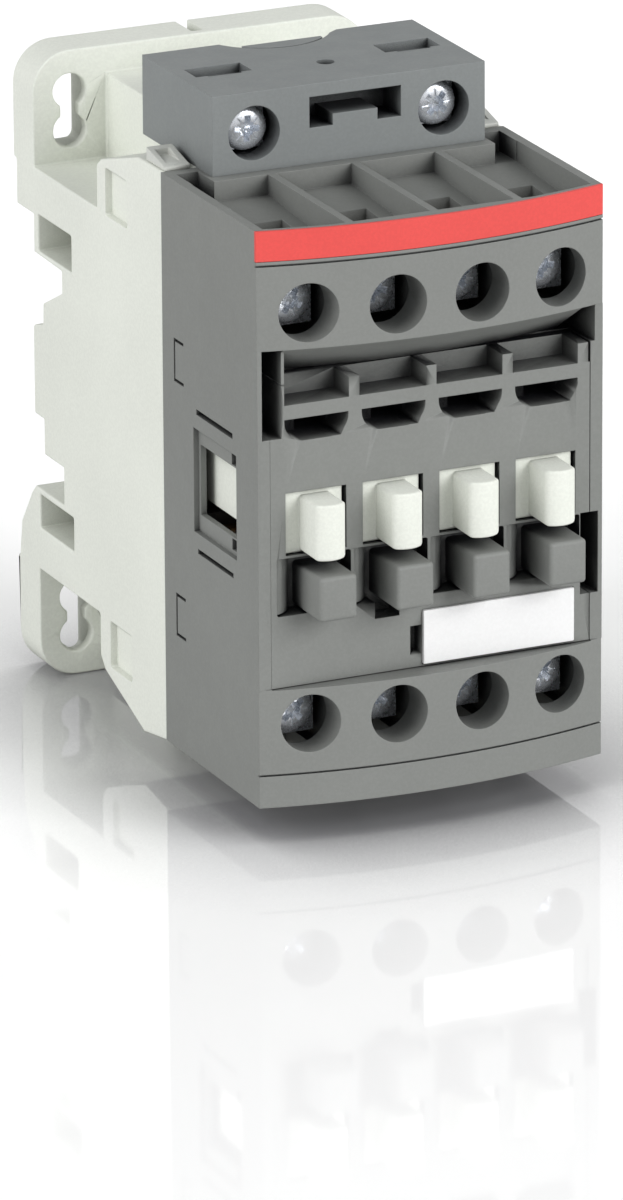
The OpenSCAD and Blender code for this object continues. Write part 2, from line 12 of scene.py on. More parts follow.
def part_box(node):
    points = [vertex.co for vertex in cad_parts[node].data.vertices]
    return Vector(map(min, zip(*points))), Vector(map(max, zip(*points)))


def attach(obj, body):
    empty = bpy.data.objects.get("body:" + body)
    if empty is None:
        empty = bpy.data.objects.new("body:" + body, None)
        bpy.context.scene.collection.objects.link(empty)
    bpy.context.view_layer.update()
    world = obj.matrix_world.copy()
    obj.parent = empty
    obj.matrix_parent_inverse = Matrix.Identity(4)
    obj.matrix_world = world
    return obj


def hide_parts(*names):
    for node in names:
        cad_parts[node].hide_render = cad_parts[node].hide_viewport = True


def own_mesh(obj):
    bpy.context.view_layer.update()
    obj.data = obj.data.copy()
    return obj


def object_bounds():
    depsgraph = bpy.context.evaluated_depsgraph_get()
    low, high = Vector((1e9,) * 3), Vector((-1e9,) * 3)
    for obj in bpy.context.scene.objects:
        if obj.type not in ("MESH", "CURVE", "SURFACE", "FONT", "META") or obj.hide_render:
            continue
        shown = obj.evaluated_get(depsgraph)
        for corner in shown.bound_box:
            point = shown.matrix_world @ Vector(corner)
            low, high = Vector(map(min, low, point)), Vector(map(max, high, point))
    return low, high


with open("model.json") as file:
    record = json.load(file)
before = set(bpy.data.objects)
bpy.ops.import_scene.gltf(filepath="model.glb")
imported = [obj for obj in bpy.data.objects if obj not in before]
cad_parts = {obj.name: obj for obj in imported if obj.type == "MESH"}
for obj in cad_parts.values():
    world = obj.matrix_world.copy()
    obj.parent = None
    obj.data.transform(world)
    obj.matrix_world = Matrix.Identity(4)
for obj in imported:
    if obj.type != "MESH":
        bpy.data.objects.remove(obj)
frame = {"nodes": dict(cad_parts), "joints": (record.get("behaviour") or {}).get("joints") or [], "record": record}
cad_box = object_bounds()

MM = 0.001
POLES = (1, 2, 3, 4)
SIDES = ("left", "right")
SLOT_OF = {part["node"]: part["material_slot"] for part in frame["record"]["subparts"]}
BODY_OF = {}
for body_name, members in frame["record"]["behaviour"]["bodies"].items():
    for member in members:
        BODY_OF[member] = body_name
random.seed(7)


# ------------------------------------------------------------------ small tools
def linear(red, green, blue):
    """A screen colour from 0 to 255 as linear light."""
    parts = [c / 255 for c in (red, green, blue)]
    return [c / 12.92 if c < 0.04045 else ((c + 0.055) / 1.055) ** 2.4 for c in parts] + [1]


def mesh_object(name, bm):
    """A new object from a bmesh, which is freed."""
    bmesh.ops.recalc_face_normals(bm, faces=bm.faces)
    mesh = bpy.data.meshes.new(name)
    bm.to_mesh(mesh)
    bm.free()
    obj = bpy.data.objects.new(name, mesh)
    bpy.context.scene.collection.objects.link(obj)
    return obj


def shade(obj, degrees=35):
    """Smooth shading, with the sharp edges kept."""
    obj.data.shade_smooth()
    obj.data.set_sharp_from_angle(angle=math.radians(degrees))


def middle(node):
    """The middle of a CAD node's box."""
    low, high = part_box(node)
    return (low + high) / 2


def size(node):
    """The extent of a CAD node's box."""
    low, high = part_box(node)
    return high - low


def stand_for(obj, node):
    """obj takes the place of that CAD node: its body and the material of its slot."""
    finish_as(obj, SLOT_OF[node])
    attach(obj, BODY_OF[node])
    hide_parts(node)


def bridge_rings(bm, first, second):
    """Quads between two rings of vertices."""
    for i in range(len(first)):
        j = (i + 1) % len(first)
        bm.faces.new((first[i], first[j], second[j], second[i]))


def skin(bm, rings):
    """A closed skin over a row of rings, with a flat face on each end."""
    for first, second in zip(rings, rings[1:]):
        bridge_rings(bm, first, second)
    bm.faces.new(rings[0])
    bm.faces.new(rings[-1])


def lathe(bm, profile, turns, centre, place=lambda ring, a, r, y: r):
    """Rings round an axis along Y. profile is (radius, y) pairs; the two ends are closed."""
    rings = []
    for index, (radius, y) in enumerate(profile):
        ring = []
        for k in range(turns):
            a = 2 * math.pi * k / turns
            r = place(index, a, radius, y)
            ring.append(bm.verts.new((centre.x + r * math.cos(a), centre.y + y, centre.z + r * math.sin(a))))
        rings.append(ring)
    skin(bm, rings)


def wire(bm, points, radius, sides=8):
    """A round wire along the points, with flat ends."""
    rings = []
    normal = None
    for i, point in enumerate(points):
        ahead = points[min(i + 1, len(points) - 1)] - points[max(i - 1, 0)]
        ahead.normalize()
        if normal is None:
            normal = ahead.orthogonal()
        normal = (normal - ahead * normal.dot(ahead)).normalized()
        side = ahead.cross(normal)
        ring = []
        for k in range(sides):
            a = 2 * math.pi * k / sides
            ring.append(bm.verts.new(point + (normal * math.cos(a) + side * math.sin(a)) * radius))
        rings.append(ring)
    skin(bm, rings)


def rounded_outline(half_w, half_h, radius, across=0, per_corner=6):
    """Points of a rounded rectangle round the origin, with more points across its top and its bottom."""
    points = []
    for sx, sz, start in ((1, 1, 0), (-1, 1, 90), (-1, -1, 180), (1, -1, 270)):
        for k in range(per_corner + 1):
            a = math.radians(start + 90 * k / per_corner)
            points.append((sx * (half_w - radius) + radius * math.cos(a),
                           sz * (half_h - radius) + radius * math.sin(a)))
        if start in (0, 180):
            for k in range(1, across + 1):
                points.append((sx * (half_w - radius) * (1 - 2 * k / (across + 1)), sz * half_h))
    return points


# -------------------------------------------------------------------- materials
# features per metre of the plastic's noises
CLOUD_SCALE = 55
SWELL_SCALE = 90
POLISH_SCALE = 300
SPECK_SCALE = 2600
GRAIN_SCALE = 4200
# features per metre of the metals' noises
STAIN_SCALE = 240
STREAK_SCALE = 1500
# heights of the relief
SWELL_HEIGHT = 0.03 * MM
GRAIN_HEIGHT = 0.02 * MM
SCRATCH_HEIGHT = 0.012 * MM
# how far the painted shade in the plastics' hollows reaches
HOLLOW_SHADE_REACH = 7 * MM
EDGE_R = 0.16 * MM
GREY = linear(137, 139, 136)
CREAM = linear(239, 242, 233)
WHITE = (1, 1, 1, 1)
# colours of the painted shade in hollows, for dark and for pale plastics
DARK_HOLLOW_SHADE = (0.03, 0.03, 0.04, 1)
PALE_HOLLOW_SHADE = (0.35, 0.35, 0.33, 1)


class Nodes:
    """A material's node tree, with short ways to add to it."""

    def __init__(self, name, **sockets):
        self.material = bpy.data.materials.new(name)
        self.material.use_nodes = True
        self.tree = self.material.node_tree
        self.shader = self.tree.nodes["Principled BSDF"]
        for socket, value in sockets.items():
            self.shader.inputs[socket.replace("_", " ")].default_value = value
        self.place = self.add("ShaderNodeTexCoord").outputs["Object"]

    def add(self, kind, **settings):
        """A new node with these settings."""
        made = self.tree.nodes.new(kind)
        for key, value in settings.items():
            setattr(made, key, value)
        return made

    def link(self, a, b):
        self.tree.links.new(a, b)

    def noise(self, scale, detail=3, roughness=0.5, stretch=(1, 1, 1)):
        """Noise from 0 to 1, fixed to the object."""
        mapping = self.add("ShaderNodeMapping")
        mapping.inputs["Scale"].default_value = stretch
        self.link(self.place, mapping.inputs["Vector"])
        made = self.add("ShaderNodeTexNoise")
        made.inputs["Scale"].default_value = scale
        made.inputs["Detail"].default_value = detail
        made.inputs["Roughness"].default_value = roughness
        self.link(mapping.outputs["Vector"], made.inputs["Vector"])
        return made.outputs["Fac"]

    def ramp(self, factor, stops):
        """A colour from the (place, colour) stops."""
        made = self.add("ShaderNodeValToRGB")
        while len(made.color_ramp.elements) < len(stops):
            made.color_ramp.elements.new(0.5)
        for element, (place, colour) in zip(made.color_ramp.elements, stops):
            element.position = place
            element.color = colour
        self.link(factor, made.inputs["Fac"])
        return made.outputs["Color"]

    def spread(self, factor, low, high, start=0.3, end=0.7):
        """The range from start to end, spread over low to high."""
        made = self.add("ShaderNodeMapRange")
        made.inputs["From Min"].default_value = start
        made.inputs["From Max"].default_value = end
        made.inputs["To Min"].default_value = low
        made.inputs["To Max"].default_value = high
        self.link(factor, made.inputs["Value"])
        return made.outputs["Result"]

    def mix(self, factor, first, second, blend="MIX"):
        """Two colours mixed. Each of the three may be a value or a socket."""
        made = self.add("ShaderNodeMix", data_type="RGBA", blend_type=blend)
        for value, name in ((factor, "Factor"), (first, "A"), (second, "B")):
            if isinstance(value, (list, tuple, int, float)):
                made.inputs[name].default_value = value
            else:
                self.link(value, made.inputs[name])
        return made.outputs["Result"]

    def bump(self, height, strength, distance):
        """Relief on top of the relief that is already there."""
        made = self.add("ShaderNodeBump")
        made.inputs["Strength"].default_value = strength
        made.inputs["Distance"].default_value = distance
        self.link(height, made.inputs["Height"])
        if self.shader.inputs["Normal"].is_linked:
            self.link(self.shader.inputs["Normal"].links[0].from_socket, made.inputs["Normal"])
        self.link(made.outputs["Normal"], self.shader.inputs["Normal"])

    def soften_edges(self, radius):
        """Shades every edge as rounded. Gives a mask: 0 on flat faces and up to 1 along edges."""
        rounded = self.add("ShaderNodeBevel", samples=4)
        rounded.inputs["Radius"].default_value = radius
        self.link(rounded.outputs["Normal"], self.shader.inputs["Normal"])
        plain = self.add("ShaderNodeNewGeometry")
        dot = self.add("ShaderNodeVectorMath", operation="DOT_PRODUCT")
        self.link(rounded.outputs["Normal"], dot.inputs[0])
        self.link(plain.outputs["Normal"], dot.inputs[1])
        return self.spread(dot.outputs["Value"], 1, 0, 0.75, 1)

    def cavity(self, reach):
        """1 on open faces and down to 0 in deep holes and gaps; the mask for the painted shade in hollows and the
        painted shadow on the floor.
        """
        made = self.add("ShaderNodeAmbientOcclusion", samples=6)
        made.inputs["Distance"].default_value = reach
        return made.outputs["AO"]

    def colour(self, socket):
        self.link(socket, self.shader.inputs["Base Color"])

    def rough(self, socket):
        self.link(socket, self.shader.inputs["Roughness"])


def shifted(colour, factor):
    """The colour made lighter or darker."""
    return [min(c * factor, 1) for c in colour[:3]] + [1]


def moulded(name, colour, roughness=0.5, grain=0.35, edge_highlight=1.12, depth=1.0, hollow_shade_colour=DARK_HOLLOW_SHADE):
    """Moulded plastic: spark eroded grain, cloudy tint, painted highlights along the edges and painted shade in
    the hollows.
    """
    nodes = Nodes(name, IOR=1.47, Specular_IOR_Level=0.3)
    edge = nodes.soften_edges(EDGE_R)
    cloud = nodes.noise(CLOUD_SCALE, 4)
    fine = nodes.noise(SPECK_SCALE, 3, 0.6)
    tint = nodes.ramp(cloud, [(0.3, shifted(colour, 0.95)), (0.7, shifted(colour, 1.05))])
    speck = nodes.ramp(fine, [(0.42, shifted(colour, 0.93)), (0.62, shifted(colour, 1.05))])
    body = nodes.mix(0.4, tint, speck)
    # painted highlight: the base colour made paler along every edge
    highlit_edges = nodes.mix(edge, body, shifted(colour, edge_highlight))
    # painted shade: holes, slots and gaps darkened by the occlusion mask, scaled by depth
    hollow_shade = nodes.ramp(nodes.cavity(HOLLOW_SHADE_REACH), [(0.2, hollow_shade_colour), (0.55, WHITE)])
    nodes.colour(nodes.mix(depth, highlit_edges, hollow_shade, "MULTIPLY"))
    nodes.rough(nodes.spread(nodes.noise(POLISH_SCALE, 3), roughness - 0.05, roughness + 0.07))
    nodes.bump(nodes.noise(GRAIN_SCALE, 2, 0.55), grain, GRAIN_HEIGHT)
    nodes.bump(nodes.noise(SWELL_SCALE, 2), 0.25, SWELL_HEIGHT)
    return nodes.material


def metal(name, colour, roughness=0.28, stretch=(1, 1, 1), stain=0.85, scratch=0.3, purity=1.0):
    """Plated or bare metal with brushed streaks and a cloudy finish."""
    nodes = Nodes(name, Metallic=purity)
    streak = nodes.noise(STREAK_SCALE, 3, 0.6, stretch)
    cloud = nodes.noise(STAIN_SCALE, 4)
    nodes.colour(nodes.ramp(cloud, [(0.3, shifted(colour, stain)), (0.65, colour)]))
    nodes.rough(nodes.spread(streak, roughness - 0.06, roughness + 0.12))
    nodes.bump(streak, scratch, SCRATCH_HEIGHT)
    return nodes.material


def make_materials():
    """One material for each slot."""
    return {
        "cream_plastic": moulded("cream_plastic", CREAM, 0.48, 0.25, 1.05, 0.6, PALE_HOLLOW_SHADE),
        "grey_plastic": moulded("grey_plastic", GREY, 0.5, 0.4, 1.25),
        "block_plastic": moulded("block_plastic", linear(139, 143, 143), 0.48, 0.4, 1.25),
        "red_plastic": moulded("red_plastic", linear(236, 88, 84), 0.4, 0.2, 1.08, 0.5),
        "marker_plastic": moulded("marker_plastic", linear(255, 255, 255), 0.35, 0.12, 1.05, 0.1),
        "clip_plastic": moulded("clip_plastic", linear(214, 216, 210), 0.3, 0.2, 1.08, 0.5, PALE_HOLLOW_SHADE),
        "bobbin_plastic": moulded("bobbin_plastic", linear(236, 232, 214), 0.45, 0.3, 1.05, 0.5,
                                  PALE_HOLLOW_SHADE),
        "pad_rubber": moulded("pad_rubber", linear(38, 38, 40), 0.75, 0.6, 1.3),
        "board": moulded("board", linear(38, 96, 62), 0.35, 0.2, 1.2, 0.5),
        "core_steel": metal("core_steel", linear(150, 150, 154), 0.42, (8, 1, 1)),
        "winding_copper": metal("winding_copper", linear(196, 108, 62), 0.3, (1, 6, 1)),
        "contact_brass": metal("contact_brass", linear(214, 172, 122), 0.32, (1, 1, 5)),
        "contact_silver": metal("contact_silver", linear(226, 226, 228), 0.3),
        "zinc_steel": metal("zinc_steel", linear(236, 240, 246), 0.24, (1, 1, 1), 0.94, 0.03, 0.7),
        "spring_steel": metal("spring_steel", linear(190, 192, 198), 0.25, (1, 1, 1)),
    }


MATERIALS = make_materials()


def finish_as(obj, slot):
    """Gives obj the material of that slot."""
    obj.data.materials.clear()
    obj.data.materials.append(MATERIALS[slot])


# ------------------------------------------------------- CAD nodes, edges eased
SHARP = math.radians(32)
MERGE = 0.0005 * MM
EASED = {
    "rear_housing": 0.25 * MM, "marker_plate": 0.12 * MM, "housing_clips": 0.12 * MM,
    "contact_carrier": 0.12 * MM, "din_latch": 0.2 * MM, "coil_bobbin": 0.12 * MM,
}
FINE_EDGE = 0.06 * MM
PLAIN = ("pole_housing", "front_cover", "coil_block", "colour_band")


def ease(obj, width):
    """Moulded edges: a small bevel on every sharp edge, from modifiers only."""
    weld = obj.modifiers.new("weld", "WELD")
    weld.merge_threshold = MERGE
    bevel = obj.modifiers.new("bevel", "BEVEL")
    bevel.limit_method = "ANGLE"
    bevel.angle_limit = SHARP
    bevel.width = width
    bevel.segments = 2
    bevel.use_clamp_overlap = False
    bevel.miter_outer = "MITER_ARC"
    normals = obj.modifiers.new("normals", "WEIGHTED_NORMAL")
    normals.keep_sharp = False
    normals.weight = 80


def dress_nodes():
    """Materials for every CAD node. Those in PLAIN keep their own normals, and the rest get eased edges."""
    for name, obj in frame["nodes"].items():
        finish_as(obj, SLOT_OF[name])
        if name in PLAIN:
            continue
        if "custom_normal" in obj.data.attributes:
            obj.data.attributes.remove(obj.data.attributes["custom_normal"])
        obj.data.shade_smooth()
        ease(obj, EASED.get(name, FINE_EDGE))


dress_nodes()


# ------------------------------------------------- noses and hooks, rounded soft
PLATE_PROUD = 0.35 * MM
COVER_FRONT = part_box("marker_plate")[0].y + PLATE_PROUD
NOSE_BOW = 2.6 * MM
HOOK_POCKET = 3 * MM
POST_CORNER = 0.5 * MM
NOSE_RIM = 0.28 * MM
HOOK_RIM = 0.5 * MM
OVERLAP = 0.4 * MM
TINY = 0.02 * MM
RIM_STEPS = 5
BOW_POINTS = 8


def soft_post(bm, low, high, back, round_off, bow=None):
    """A post along Y with rounded corners, a rounded front rim and, with a bow radius, a bowed front."""
    half_w, half_h = (high.x - low.x) / 2, (high.z - low.z) / 2
    centre = (low + high) / 2
    across = BOW_POINTS if bow else 0

    def front_at(px):
        return low.y + (bow - math.sqrt(bow * bow - px * px) if bow else 0)

    rings = [[bm.verts.new((centre.x + px, back, centre.z + pz))
              for px, pz in rounded_outline(half_w, half_h, POST_CORNER, across)]]
    for k in range(RIM_STEPS + 1):
        a = math.pi / 2 * k / RIM_STEPS
        inset = round_off * (1 - math.cos(a))
        sunk = round_off * (1 - math.sin(a))
        outline = rounded_outline(half_w - inset, half_h - inset, max(POST_CORNER - inset, TINY), across)
        rings.append([bm.verts.new((centre.x + px, front_at(px) + sunk, centre.z + pz))
                      for px, pz in outline])
    for first, second in zip(rings, rings[1:]):
        bridge_rings(bm, first, second)
    bm.faces.new(rings[0])
    rim = rings[-1]
    if bow:
        half = len(rim) // 2
        for k in range(half - 1):
            bm.faces.new((rim[k], rim[k + 1], rim[-2 - k], rim[-1 - k]))
    else:
        bm.faces.new(rim)


def posts_of(bm, limit):
    """Boxes of the posts that stand out of bm in front of limit, from left to right."""
    left = {v for v in bm.verts if v.co.y < limit}
    boxes = []
    while left:
        reached = {left.pop()}
        group = set(reached)
        while reached:
            reached = {e.other_vert(v) for v in reached for e in v.link_edges} & left
            left -= reached
            group |= reached
        boxes.append((Vector([min(v.co[k] for v in group) for k in range(3)]),
                      Vector([max(v.co[k] for v in group) for k in range(3)])))
    return sorted(boxes, key=lambda box: box[0].x)


def welded_copy(node):
    """A CAD node's mesh as a bmesh, with its coincident vertices merged."""
    bm = bmesh.new()
    bm.from_mesh(frame["nodes"][node].data)
    bmesh.ops.remove_doubles(bm, verts=bm.verts, dist=MERGE)
    return bm


def add_posts(name, node, boxes, back, round_off, bow=None):
    """The posts of one CAD node as one piece."""
    bm = bmesh.new()
    for low, high in boxes:
        soft_post(bm, low, high, back, round_off, bow)
    piece = mesh_object(name, bm)
    shade(piece, 40)
    finish_as(piece, SLOT_OF[node])
    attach(piece, BODY_OF[node])


def add_carrier():
    """The carrier moulding, with its four noses made anew with soft rims."""
    bm = welded_copy("contact_carrier")
    noses = posts_of(bm, COVER_FRONT - 0.5 * MM)
    cut = COVER_FRONT + 0.3 * MM
    bmesh.ops.bisect_plane(bm, geom=bm.verts[:] + bm.edges[:] + bm.faces[:], plane_co=(0, cut, 0),
                           plane_no=(0, -1, 0), clear_outer=True)
    bmesh.ops.edgeloop_fill(bm, edges=[e for e in bm.edges if len(e.link_faces) == 1])
    piece = mesh_object("carrier_moulding", bm)
    piece.data.shade_smooth()
    stand_for(piece, "contact_carrier")
    ease(piece, EASED["contact_carrier"])
    add_posts("indicator_noses", "contact_carrier", noses, cut + OVERLAP, NOSE_RIM, NOSE_BOW)


def add_cover():
    """The front cover, with its four hooks made anew with soft rims."""
    bm = welded_copy("front_cover")
    hooks = posts_of(bm, COVER_FRONT - 0.5 * MM)
    floor = COVER_FRONT + HOOK_POCKET

    def within(point, low, high):
        return low.x - TINY < point.x < high.x + TINY and low.z - TINY < point.z < high.z + TINY

    def on_a_hook(face):
        points = [v.co for v in face.verts]
        depths = [p.y for p in points]
        if max(depths) > floor + TINY or min(depths) > floor - TINY:
            return False
        return any(all(within(p, low, high) for p in points) for low, high in hooks)

    doomed = [face for face in bm.faces if on_a_hook(face)]
    bmesh.ops.delete(bm, geom=doomed, context="FACES")
    bmesh.ops.edgeloop_fill(bm, edges=[e for e in bm.edges if len(e.link_faces) == 1])
    piece = mesh_object("cover_moulding", bm)
    shade(piece, 20)
    weigh = piece.modifiers.new("weigh", "WEIGHTED_NORMAL")
    weigh.keep_sharp = True
    stand_for(piece, "front_cover")
    add_posts("accessory_hooks", "front_cover", hooks, floor + OVERLAP, HOOK_RIM)


# ----------------------------------------------------------------------- screws
HEAD_T = 2 * MM
THREAD_PITCH = 0.7 * MM
THREAD_DEPTH = 0.28 * MM
THREAD_STEPS = 5
NECK = 0.3 * MM
POINT = 1 * MM
SHANKS = {"line": 1.7 * MM, "load": 1.7 * MM, "coil": 1.48 * MM}
ROUND = 32


def pan_head(radius, shank, length):
    """A pan head screw along +Y from its front, with a cut thread, and no recess yet."""
    head = [(0.05, 0), (0.45, 0.005), (0.7, 0.05), (0.86, 0.15), (0.96, 0.3), (1, 0.48), (1, 0.88),
            (0.95, 0.97), (0.88, 1)]
    profile = [(radius * r, HEAD_T * y) for r, y in head]
    profile += [(shank, HEAD_T), (shank, HEAD_T + NECK)]
    thread_from = len(profile)
    rows = int((length - HEAD_T - POINT) / THREAD_PITCH * THREAD_STEPS)
    for k in range(1, rows + 1):
        profile.append((shank, HEAD_T + NECK + k * THREAD_PITCH / THREAD_STEPS))
    profile.append((shank * 0.72, length))

    def place(index, a, r, y):
        if not thread_from <= index < len(profile) - 1:
            return r
        wave = (y / THREAD_PITCH - a / (2 * math.pi)) % 1
        return r - THREAD_DEPTH * abs(2 * wave - 1)

    bm = bmesh.new()
    lathe(bm, profile, ROUND, Vector(), place)
    return mesh_object("screw", bm)


def wedge(half_long, half_wide, depth, taper, turn):
    """A tapered bar that sinks into a screw's face, turned round its axis."""
    bm = bmesh.new()
    verts = []
    for y, share in ((-NECK, 1.0), (depth, taper)):
        for sx, sz in ((-1, -1), (1, -1), (1, 1), (-1, 1)):
            verts.append(bm.verts.new((sx * half_long * share, y, sz * half_wide * share)))
    for quad in ((0, 1, 2, 3), (7, 6, 5, 4), (0, 4, 5, 1), (1, 5, 6, 2), (2, 6, 7, 3), (3, 7, 4, 0)):
        bm.faces.new([verts[i] for i in quad])
    bmesh.ops.rotate(bm, verts=bm.verts, matrix=Matrix.Rotation(math.radians(turn), 3, "Y"))
    return mesh_object("wedge", bm)


def cut_with(obj, cutters):
    """Subtracts the cutters one after the other, and leaves the result as obj's mesh."""
    for index, cutter in enumerate(cutters):
        modifier = obj.modifiers.new(f"cut_{index}", "BOOLEAN")
        modifier.object = cutter
        modifier.operation = "DIFFERENCE"
        modifier.solver = "EXACT"
    graph = bpy.context.evaluated_depsgraph_get()
    mesh = bpy.data.meshes.new_from_object(obj.evaluated_get(graph))
    obj.modifiers.clear()
    obj.data = mesh
    for cutter in cutters:
        bpy.data.objects.remove(cutter)


def screw_master(kind):
    """One screw with its cross recess and the four fine marks between the arms."""
    extent = size(f"{kind}_screw_{SIDES[0] if kind == 'coil' else POLES[0]}")
    radius = extent.x / 2
    obj = pan_head(radius, SHANKS[kind], extent.y)
    arms = [wedge(0.62 * radius, 0.15 * radius, 1.3 * MM, 0.55, turn) for turn in (0, 90)]
    core = [wedge(0.3 * radius, 0.3 * radius, 1.1 * MM, 0.7, 0)]
    marks = [wedge(0.72 * radius, 0.035 * radius, 0.16 * MM, 0.9, turn) for turn in (45, 135)]
    cut_with(obj, arms + core + marks)
    shade(obj, 28)
    return obj


def add_screws():
    """A threaded screw in the place of each CAD screw, each turned by chance."""
    for kind, names in (("line", POLES), ("load", POLES), ("coil", SIDES)):
        master = screw_master(kind)
        for name in names:
            node = f"{kind}_screw_{name}"
            centre = middle(node)
            centre.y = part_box(node)[0].y
            piece = master.copy()
            piece.data = master.data.copy()
            piece.name = f"{node}_threaded"
            bpy.context.scene.collection.objects.link(piece)
            turn = Matrix.Rotation(random.uniform(0, math.pi / 2), 4, "Y")
            piece.data.transform(Matrix.Translation(centre) @ turn)
            stand_for(piece, node)
        bpy.data.objects.remove(master)


# ---------------------------------------------------------------------- springs
SPRINGS = {"contact_spring": (0.25 * MM, 4.5), "return_spring": (0.3 * MM, 6),
           "din_latch_spring": (0.2 * MM, 5)}
STEPS_A_TURN = 18
CLOSED_PITCH = 2.1


def add_spring(node, axis, anchor):
    """A round wire spring with closed ends."""
    kind = next(name for name in SPRINGS if node.startswith(name))
    thick, turns = SPRINGS[kind]
    low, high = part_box(node)
    start, length = low[axis] + thick, high[axis] - low[axis] - 2 * thick
    across = [k for k in range(3) if k != axis]
    radius = (high[across[0]] - low[across[0]]) / 2 - thick
    total = turns + 2
    closed = CLOSED_PITCH * thick
    points = []
    for k in range(int(total * STEPS_A_TURN) + 1):
        t = k / STEPS_A_TURN
        if t < 1:
            height = closed * t
        elif t > total - 1:
            height = length - closed * (total - t)
        else:
            height = closed + (length - 2 * closed) * (t - 1) / (total - 2)
        point = Vector()
        point[axis] = start + height
        a = 2 * math.pi * t
        point[across[0]] = (low[across[0]] + high[across[0]]) / 2 + radius * math.cos(a)
        point[across[1]] = (low[across[1]] + high[across[1]]) / 2 + radius * math.sin(a)
        points.append(point)
    bm = bmesh.new()
    wire(bm, points, thick)
    piece = mesh_object(f"{node}_coil", bm)
    shade(piece, 50)
    stand_for(piece, node)
    place = list(middle(node))
    place[axis] = anchor
    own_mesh(piece)


def add_springs():
    """A spring for each node that the joints deform."""
    axes = {"scale_x": 0, "scale_y": 1, "scale_z": 2}
    for joint in frame["joints"]:
        for row in joint.get("deforming_nodes", []):
            add_spring(row["node"], axes[row["mode"]], row["fixed_end_z_m"])


# --------------------------------------------------------------- magnet and coil
LAMINATION = 0.5 * MM
OUTER_LIMB = 4.5 * MM
INNER_LIMB = 8 * MM
YOKES = {"fixed_core": 4.5 * MM, "armature": 3.5 * MM}
RIVET_R = 1.1 * MM
RIVET_SIDES = 20
DOME = 0.6 * MM
PLATE_GAP = 0.03 * MM


def add_core(node, tips_front):
    """A stack of E shaped steel plates, held by two rivets through its yoke."""
    low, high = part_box(node)
    yoke = YOKES[node]
    outer, inner, tip = (high.y, high.y - yoke, low.y) if tips_front else (low.y, low.y + yoke, high.y)
    top, slot, limb = high.z, high.z - OUTER_LIMB, INNER_LIMB / 2
    outline = [(outer, -top), (outer, top), (tip, top), (tip, slot), (inner, slot), (inner, limb),
               (tip, limb), (tip, -limb), (inner, -limb), (inner, -slot), (tip, -slot), (tip, -top)]
    bm = bmesh.new()
    count = int((high.x - low.x) / LAMINATION)
    pitch = (high.x - low.x) / count
    for k in range(count):
        x = low.x + k * pitch
        slip = random.uniform(-1, 0) * PLATE_GAP
        skin(bm, [[bm.verts.new((px, y, z + math.copysign(slip, z))) for y, z in outline]
                  for px in (x + PLATE_GAP, x + pitch - PLATE_GAP)])
    rim = [(0.1, 0.35), (0.6, 0.33), (0.9, 0.2), (1, 0)]
    profile = [(share, low.x - dome * DOME) for share, dome in rim]
    profile += [(share, high.x + dome * DOME) for share, dome in reversed(rim)]
    turns = [2 * math.pi * j / RIVET_SIDES for j in range(RIVET_SIDES)]
    for z in (-0.6 * top, 0.6 * top):
        skin(bm, [[bm.verts.new((x, (outer + inner) / 2 + share * RIVET_R * math.cos(a),
                                 z + share * RIVET_R * math.sin(a))) for a in turns]
                  for share, x in profile])
    piece = mesh_object(f"{node}_plates", bm)
    shade(piece, 30)
    stand_for(piece, node)


WIRE_T = 0.4 * MM
WINDING_CORNER = 4 * MM
TUBE_HALF = (7.9 * MM, 5.5 * MM)
TUBE_CORNER = 0.4 * MM


def add_winding():
    """The coil: one ridge for each turn of its outer layer, round the bobbin's square tube."""
    low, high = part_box("coil_winding")
    turns = round((high.y - low.y) / WIRE_T)
    pitch = (high.y - low.y) / turns
    bm = bmesh.new()

    def ring(y, half, corner):
        return [bm.verts.new((px, y, pz)) for px, pz in rounded_outline(*half, corner)]

    rings = []
    for k in range(turns):
        for share, sunk in ((0.08, 0.9), (0.28, 0.25), (0.5, 0), (0.72, 0.25), (0.92, 0.9)):
            dip = sunk * WIRE_T / 2
            half = (high.x - dip, high.z - dip)
            rings.append(ring(low.y + (k + share) * pitch, half, WINDING_CORNER - dip))
    rings.append(ring(high.y - TINY, TUBE_HALF, TUBE_CORNER))
    rings.append(ring(low.y + TINY, TUBE_HALF, TUBE_CORNER))
    for first, second in zip(rings, rings[1:] + rings[:1]):
        bridge_rings(bm, first, second)
    piece = mesh_object("coil_winding_turns", bm)
    shade(piece, 40)
    stand_for(piece, "coil_winding")


# -------------------------------------------------------------------- coil board
BOARD_T = 1.6 * MM
SOLDERED = 0.05 * MM
CAN_R = 2.4 * MM
CAN_SIDES = 28
CAN_PLACE = (0.594, 0.714)
SMALL_PARTS = 9


def rounded_slab(bm, low, high, corner, edge):
    """A slab with rounded corners in plan and a small chamfer on its upper and lower rims."""
    half_w, half_d = (high[0] - low[0]) / 2, (high[1] - low[1]) / 2
    cx, cy = (high[0] + low[0]) / 2, (high[1] + low[1]) / 2
    rings = []
    for z, inset in ((low[2], edge), (low[2] + edge, 0), (high[2] - edge, 0), (high[2], edge)):
        outline = rounded_outline(half_w - inset, half_d - inset, max(corner - inset, TINY))
        rings.append([bm.verts.new((cx + px, cy + py, z)) for px, py in outline])
    skin(bm, rings)


def board_piece(name, bm, slot):
    """A piece that rides with the coil board."""
    piece = mesh_object(name, bm)
    shade(piece)
    finish_as(piece, slot)
    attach(piece, BODY_OF["coil_board"])


